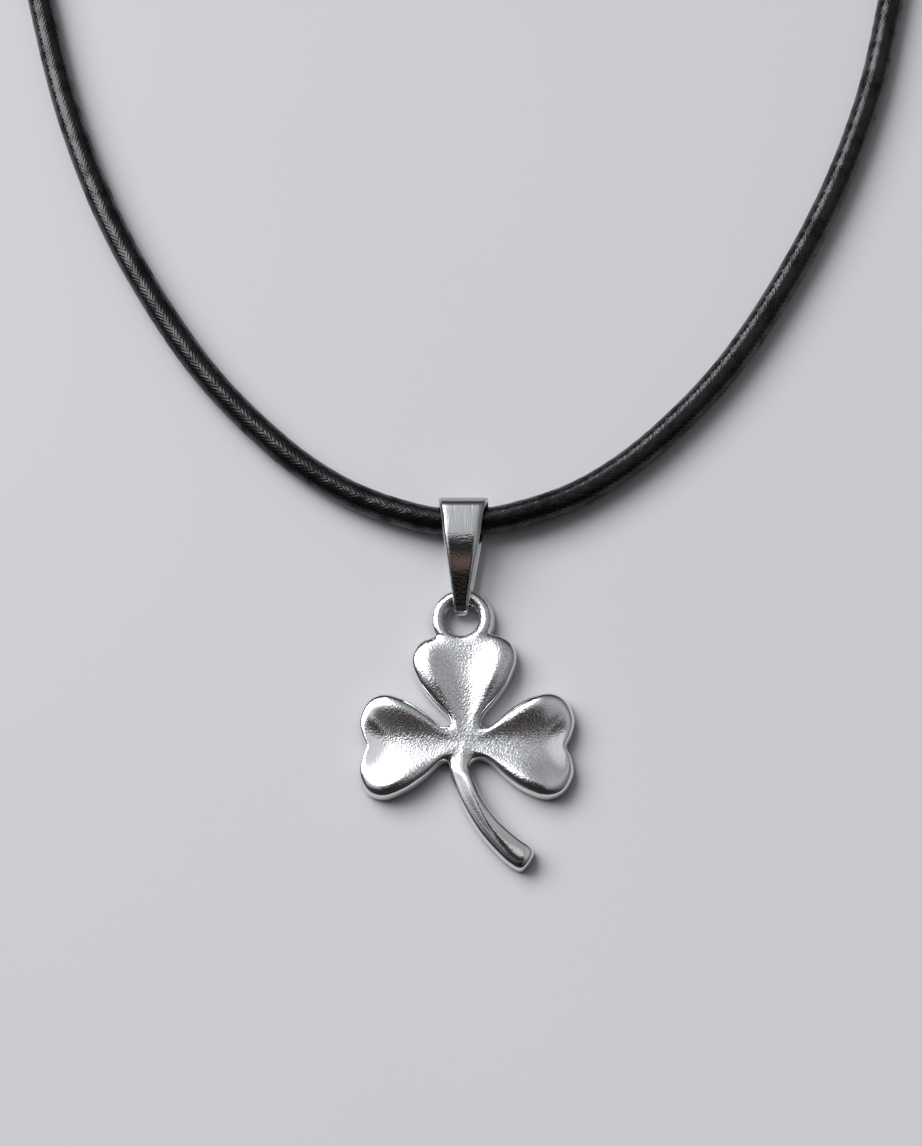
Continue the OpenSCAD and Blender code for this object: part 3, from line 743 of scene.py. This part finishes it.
# The brushed marks that the bail and the clasp share: noise drawn out into lines by a stretch of its
# own in x, y and z, as a height from 0 to 1.
marks, marks_in, marks_out = node_group(
    "brushed_marks", {"Position": (0.0, 0.0, 0.0), "Stretch": STRAP_MARKS}, "Height")
drawn_out = joined(marks, "ShaderNodeMapping", {
    "Vector": marks_in.outputs["Position"], "Scale": marks_in.outputs["Stretch"]}).outputs[0]
marks.links.new(noise(marks, drawn_out, 1.0, 3.0), marks_out.inputs["Height"])

sheet_silver, tree, bsdf = new_material("sheet_silver", Metallic=1.0)
along_strap = joined(tree, "ShaderNodeSeparateXYZ", {0: object_place(tree)}).outputs[1]
satin_and_shade = spread(tree, along_strap, SATIN_SHADE_FROM, SATIN_SHADE_FULL, soft=True)
specks = placed(tree, sand, Position=object_place(tree), Cells=GRAIN_CELLS)
brushed = placed(tree, marks, Position=object_place(tree), Stretch=STRAP_MARKS)
# over the satin the colour darkens: painted shade, besides its brushed marks and roughness
feed(tree, bsdf, Normal=bumped(tree, blended(tree, satin_and_shade, specks, brushed), SKIN_DEPTH),
     Roughness=sums(tree, "MULTIPLY_ADD", satin_and_shade, SATIN_ROUGHER, SHEET_ROUGH),
     Base_Color=mixed(tree, satin_and_shade, SHEET_BRIGHT, SHEET_SATIN_SHADE))
bail.data.materials.append(sheet_silver)
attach(bail, "root")
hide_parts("bail")

# Clasp: a turned barrel of brushed steel, with the cord's ends glued into its sockets; the fine seam where
# its two halves meet is not drawn. Its shape is the frame's own node, and only its steel is made here.
BARREL_STEEL = (0.62, 0.62, 0.63, 1)
BARREL_MARKS = (9000.0, 300.0, 300.0)
BARREL_DEPTH = 0.03 * MM
BARREL_STRENGTH = 0.25
BARREL_ROUGH, BARREL_ROUGHER = 0.2, 0.2
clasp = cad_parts["clasp"]
barrel_steel, tree, bsdf = new_material("brushed_barrel", Base_Color=BARREL_STEEL, Metallic=1.0)
brushed = placed(tree, marks, Position=object_place(tree), Stretch=BARREL_MARKS)
feed(tree, bsdf, Normal=bumped(tree, brushed, BARREL_DEPTH, BARREL_STRENGTH),
     Roughness=sums(tree, "MULTIPLY_ADD", brushed, BARREL_ROUGHER, BARREL_ROUGH))
clasp.data.materials.clear()
clasp.data.materials.append(barrel_steel)

# Floor: a plain pale table top, on which the piece lies. It is a hair lower than the piece's
# underside, so that the two don't share a plane.
FLOOR_HALF = 3.0
FLOOR_BELOW = 0.03 * MM
FLOOR_DULL = (0.690, 0.688, 0.711, 1)
FLOOR_PALE = (0.725, 0.722, 0.739, 1)
CLOUD_CELLS = 12.0
floor_mesh = bpy.data.meshes.new("floor")
floor_corners = [
    (x * FLOOR_HALF, y * FLOOR_HALF, -FLOOR_BELOW) for x, y in ((-1, -1), (1, -1), (1, 1), (-1, 1))]
floor_mesh.from_pydata(floor_corners, [], [(0, 1, 2, 3)])
floor = bpy.data.objects.new("floor", floor_mesh)
bpy.context.scene.collection.objects.link(floor)
floor_paint, tree, bsdf = new_material("pale_table", Roughness=0.5)
cloudy = noise(tree, object_place(tree), CLOUD_CELLS, 2.0)
feed(tree, bsdf, Base_Color=mixed(tree, cloudy, FLOOR_DULL, FLOOR_PALE))
floor_mesh.materials.append(floor_paint)

# Light: a dim room, lit by a big soft window beyond the cord to the upper left. The polished metal
# mirrors the room's darker parts overhead, which have one warm patch among them.
# x, y, half width and half height as slopes from the upright, softness of the edges, strength
WINDOW = -1.23, 0.91, 0.96, 0.70, 0.12, 5.4
HALO = -0.95, 0.62, 1.00, 0.98, 0.10, 0.42
WARM_PATCH = -0.07, -0.205, 0.10, 0.085, 0.02, 1.0
DARK_PARTS = (
    (-0.80, -0.40, 0.45, 0.27, 0.15, 0.60),
    (-0.09, -0.25, 0.17, 0.40, 0.03, 0.97),
    (-0.02, -0.33, 0.21, 0.21, 0.05, 0.97),
    (-0.19, -0.29, 0.43, 0.27, 0.08, 0.86),
)
# direction, degrees from it within which the light is full, and past which there is none, strength
CEILING = (-0.05, 0.35, 0.93), 15, 62, 0.27
EAST_WALL = (0.8, 0.2, 0.6), 15, 50, 0.16
SOUTH_SHADE = (-0.1, -0.9, 0.55), 22, 52, 0.50
# light from everywhere in the room and from the warm patch, and the least height that a slope is
# taken over
ROOM_GLIMMER = 0.05
WARM_GLIMMER = 0.14
LEAST_HEIGHT = 0.001
DAYLIGHT = (0.96, 0.98, 1.0, 1)
WARM_TONE = (0.90, 0.55, 0.48, 1)
BACKDROP = (0.66, 0.67, 0.70, 1)

world = bpy.data.worlds.new("room")
bpy.context.scene.world = world
world.use_nodes = True
sky = world.node_tree
sky.nodes.clear()
looking = sky.nodes.new("ShaderNodeTexCoord").outputs["Generated"]


def glow(direction, inside, outside, strength):
    """A soft-edged round light in the sky: full within one angle of its direction, none past
    another, in degrees."""
    d = tuple(Vector(direction).normalized())
    facing = joined(sky, "ShaderNodeVectorMath", {0: looking, 1: d}, operation="DOT_PRODUCT").outputs["Value"]
    none, full = math.cos(math.radians(outside)), math.cos(math.radians(inside))
    return spread(sky, facing, none, full, 0.0, strength, soft=True)


def pane(x, y, half_width, half_height, soft, strength):
    """A soft-edged level rectangle of light overhead: x, y and the half sizes are slopes, sideways
    over height, seen from the object, and its edges fade over soft to each side."""
    parts = joined(sky, "ShaderNodeSeparateXYZ", {0: looking})
    height = sums(sky, "MAXIMUM", parts.outputs[2], LEAST_HEIGHT)
    masks = []
    for part, middle, half in ((parts.outputs[0], x, half_width), (parts.outputs[1], y, half_height)):
        off = sums(sky, "ABSOLUTE", sums(sky, "SUBTRACT", sums(sky, "DIVIDE", part, height), middle))
        masks.append(spread(sky, off, half - soft, half + soft, 1.0, 0.0, soft=True))
    return sums(sky, "MULTIPLY", sums(sky, "MULTIPLY", *masks), strength)


room = sums(sky, "ADD", glow(*CEILING), glow(*EAST_WALL))
room = sums(sky, "ADD", sums(sky, "ADD", room, ROOM_GLIMMER), pane(*HALO))
darkness = pane(*DARK_PARTS[0])
for part in DARK_PARTS[1:]:
    darkness = sums(sky, "MAXIMUM", darkness, pane(*part))
for dark in (darkness, glow(*SOUTH_SHADE)):
    room = sums(sky, "MULTIPLY", room, sums(sky, "SUBTRACT", 1.0, dark))
warm = pane(*WARM_PATCH)
lit = sums(sky, "MULTIPLY_ADD", warm, WARM_GLIMMER, sums(sky, "ADD", pane(*WINDOW), room))
light = joined(sky, "ShaderNodeBackground", {"Color": mixed(sky, warm, DAYLIGHT, WARM_TONE), "Strength": lit})
backdrop = joined(sky, "ShaderNodeBackground", {"Color": BACKDROP, "Strength": 1.0})
seen = sky.nodes.new("ShaderNodeLightPath").outputs["Is Camera Ray"]
shown = joined(sky, "ShaderNodeMixShader", {0: seen, 1: light.outputs[0], 2: backdrop.outputs[0]})
room_out = sky.nodes.new("ShaderNodeOutputWorld")
sky.links.new(shown.outputs[0], room_out.inputs[0])
bpy.context.scene.view_settings.view_transform = "Standard"
